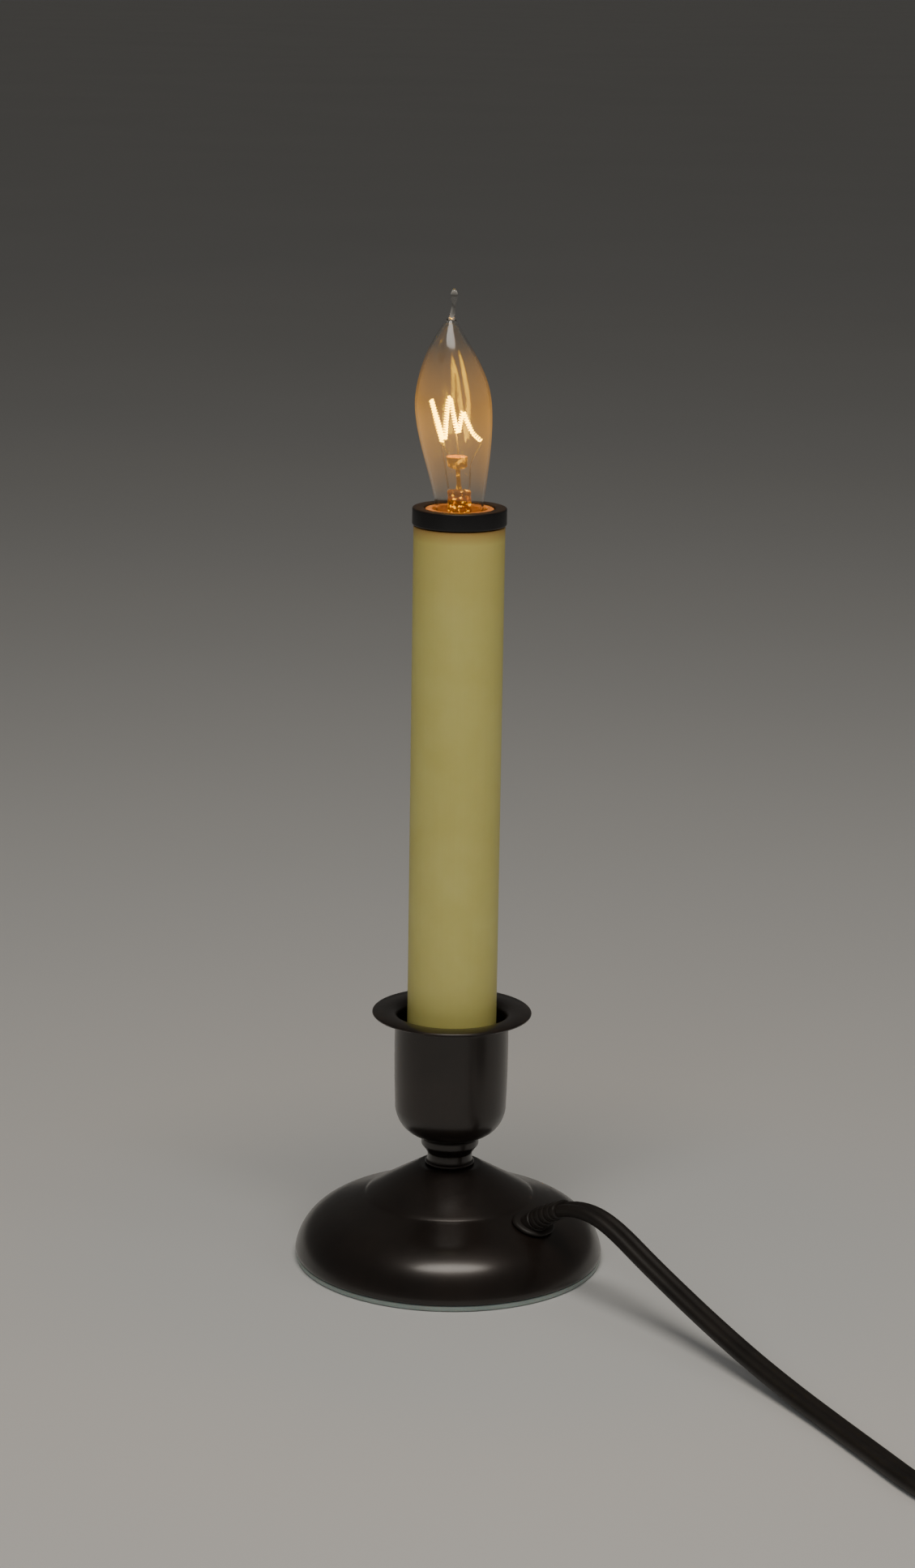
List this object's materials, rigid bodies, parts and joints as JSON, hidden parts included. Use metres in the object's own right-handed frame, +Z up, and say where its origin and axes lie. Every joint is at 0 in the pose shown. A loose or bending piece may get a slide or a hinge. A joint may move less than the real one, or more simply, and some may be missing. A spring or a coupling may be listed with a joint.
{
  "type": "electric window candle",
  "caption": "Electric window candle: dark dome base, turned neck, flanged cup, ivory sleeve, black collar and a lit flame bulb, with its lead.",
  "frame": {"origin": "centre of the base's underside", "axes": "+Z up along the candle's axis, -Y towards the front, +X to the right, where the lead leaves the base forward and to the right"},
  "size_m": [0.307, 0.2329, 0.2872],
  "materials": {
    "bronze_paint": "satin",
    "ivory_plastic": "satin",
    "cream_plastic": "satin",
    "black_plastic": "satin",
    "black_rubber": "satin",
    "wire_plastic": "satin",
    "clear_pad": "satin",
    "steel": "satin",
    "iron": "matte",
    "brass": "polished",
    "bulb_glass": "polished",
    "black_glass": "polished",
    "filament": "matte"
  },
  "bodies": {
    "lamp": {"base_pad": "clear_pad", "base_dome": "bronze_paint", "base_weight": "iron", "base_washer": "steel", "base_nut": "steel", "cord_strain_relief": "black_rubber", "lamp_pipe": "steel", "neck": "bronze_paint", "candle_cup": "bronze_paint", "cup_washer": "steel", "cup_nut": "steel", "socket_bracket": "steel", "bracket_nut": "steel", "socket_rivet": "steel", "socket_body": "cream_plastic", "socket_screw_shell": "brass", "socket_contact": "brass", "candle_sleeve": "ivory_plastic", "socket_collar": "black_plastic", "wire_line": "wire_plastic", "wire_neutral": "wire_plastic", "cord_lead": "black_rubber", "cord_middle": "black_rubber", "cord_coil": "black_rubber", "cord_tail": "black_rubber", "cord_tie": "black_plastic", "switch_lower_shell": "black_plastic", "switch_upper_shell": "black_plastic", "switch_screw": "steel", "plug_body": "black_rubber", "plug_blade_line": "brass", "plug_blade_neutral": "brass"},
    "bulb_base": {"bulb_screw_shell": "brass", "bulb_insulator": "black_glass", "bulb_contact": "steel"},
    "bulb": {"bulb_glass": "bulb_glass", "bulb_stem": "bulb_glass", "bulb_lead_left": "steel", "bulb_lead_right": "steel", "bulb_support_left": "steel", "bulb_support_centre": "steel", "bulb_filament": "filament"},
    "rocker": {"switch_rocker": "black_plastic"}
  },
  "joints": [
    {"name": "bulb_rise", "type": "slide", "parent": "lamp", "child": "bulb_base", "axis": [0, 0, 1], "range_m": [0, 0.0128]},
    {"name": "bulb_turn", "type": "hinge", "parent": "bulb_base", "child": "bulb", "pos_m": [0, 0, 0.21], "axis": [0, 0, 1], "range_deg": [0, 1800]},
    {"name": "switch_rock", "type": "hinge", "parent": "lamp", "child": "rocker", "pos_m": [0.172, -0.1778, 0.0086], "axis": [0, 1, 0], "range_deg": [-16, 0]}
  ],
  "couplings": [
    {"joint": "bulb_rise", "follows": "bulb_turn", "m_per_rad": 0.00040425}
  ]
}
